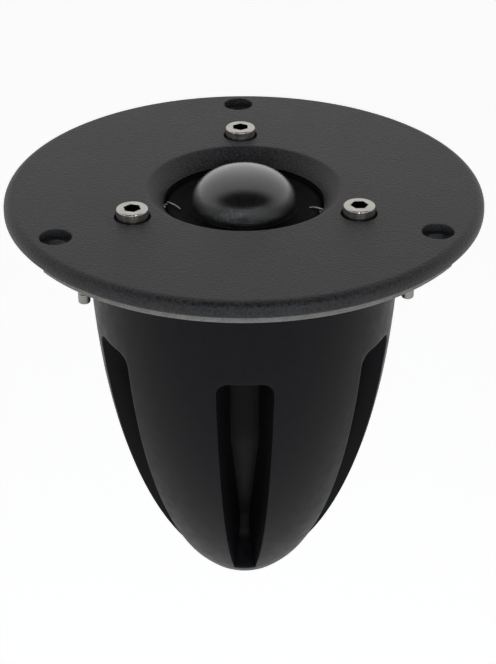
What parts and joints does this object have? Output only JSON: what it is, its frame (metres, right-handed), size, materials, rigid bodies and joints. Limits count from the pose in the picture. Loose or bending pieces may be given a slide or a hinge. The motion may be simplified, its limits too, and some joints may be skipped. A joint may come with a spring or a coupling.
{
  "type": "tweeter",
  "caption": "Soft-dome tweeter: round black faceplate with a shallow waveguide and socket screws, in front of a long bullet-shaped rear chamber with lengthwise cooling slots.",
  "frame": {"origin": "centre of the faceplate's rear face, where the plate's axis crosses the plane that the gasket is stuck to", "axes": "+Z along the driver's axis, out of the dome; +Y towards the single mounting hole, so that the terminals are on the -Y side"},
  "size_m": [0.13, 0.13, 0.1322],
  "materials": {
    "black_textured_coat": "fine-textured matt black powder coat on machined aluminium",
    "black_satin_coat": "satin black anodised aluminium with a fine bead-blasted grain",
    "stainless_steel": "bright turned stainless steel",
    "black_oxide_steel": "black oxide steel",
    "grey_foam": "dense closed-cell foam, matt grey",
    "moulded_plastic": "glass-filled moulded plastic, satin black",
    "doped_cloth_roll": "doped cloth, matt black",
    "coated_dome_cloth": "woven cloth with a clear tacky coating",
    "former_foil": "thin aluminium foil",
    "copper_winding": "enamelled copper-clad wire",
    "tinsel_wire": "silvery braided tinsel",
    "tinned_tab": "tinned tab with a solder blob",
    "red_insulation": "insulated stranded wire",
    "nickel_plating": "dull nickel plate",
    "zinc_steel": "zinc-plated mild steel",
    "magnet_ceramic": "sintered magnet, dark grey",
    "pure_iron": "turned soft iron",
    "bare_copper": "drawn copper",
    "grey_felt": "pressed wool felt",
    "white_wool": "loose long-fibre wool",
    "black_rubber": "soft black rubber"
  },
  "bodies": {
    "tweeter_body": {"faceplate": "black_textured_coat", "front_screws": "stainless_steel", "gasket_segments": "grey_foam", "diaphragm_carrier": "moulded_plastic", "surround": "doped_cloth_roll", "lead_outs": "tinsel_wire", "lead_pads": "tinned_tab", "internal_leads": "red_insulation", "terminal_posts": "nickel_plating", "terminal_bushes": "moulded_plastic", "top_plate": "zinc_steel", "magnet": "magnet_ceramic", "back_plate": "zinc_steel", "pole_piece": "pure_iron", "shorting_sleeve": "bare_copper", "pole_felt": "grey_felt", "vent_damper": "grey_felt", "yoke_gasket": "black_rubber", "chamber_seal": "black_rubber", "rear_chamber": "black_satin_coat", "damping_wad": "white_wool", "rear_screws": "black_oxide_steel"},
    "diaphragm": {"dome": "coated_dome_cloth", "coil_former": "former_foil", "voice_coil": "copper_winding"}
  },
  "joints": [
    {"name": "dome_travel", "type": "slide", "parent": "tweeter_body", "child": "diaphragm", "axis": [0, 0, 1], "range_m": [-0.0007, 0.0007], "stiffness_N_per_m": 200, "deforming": ["surround", "lead_outs"]}
  ]
}
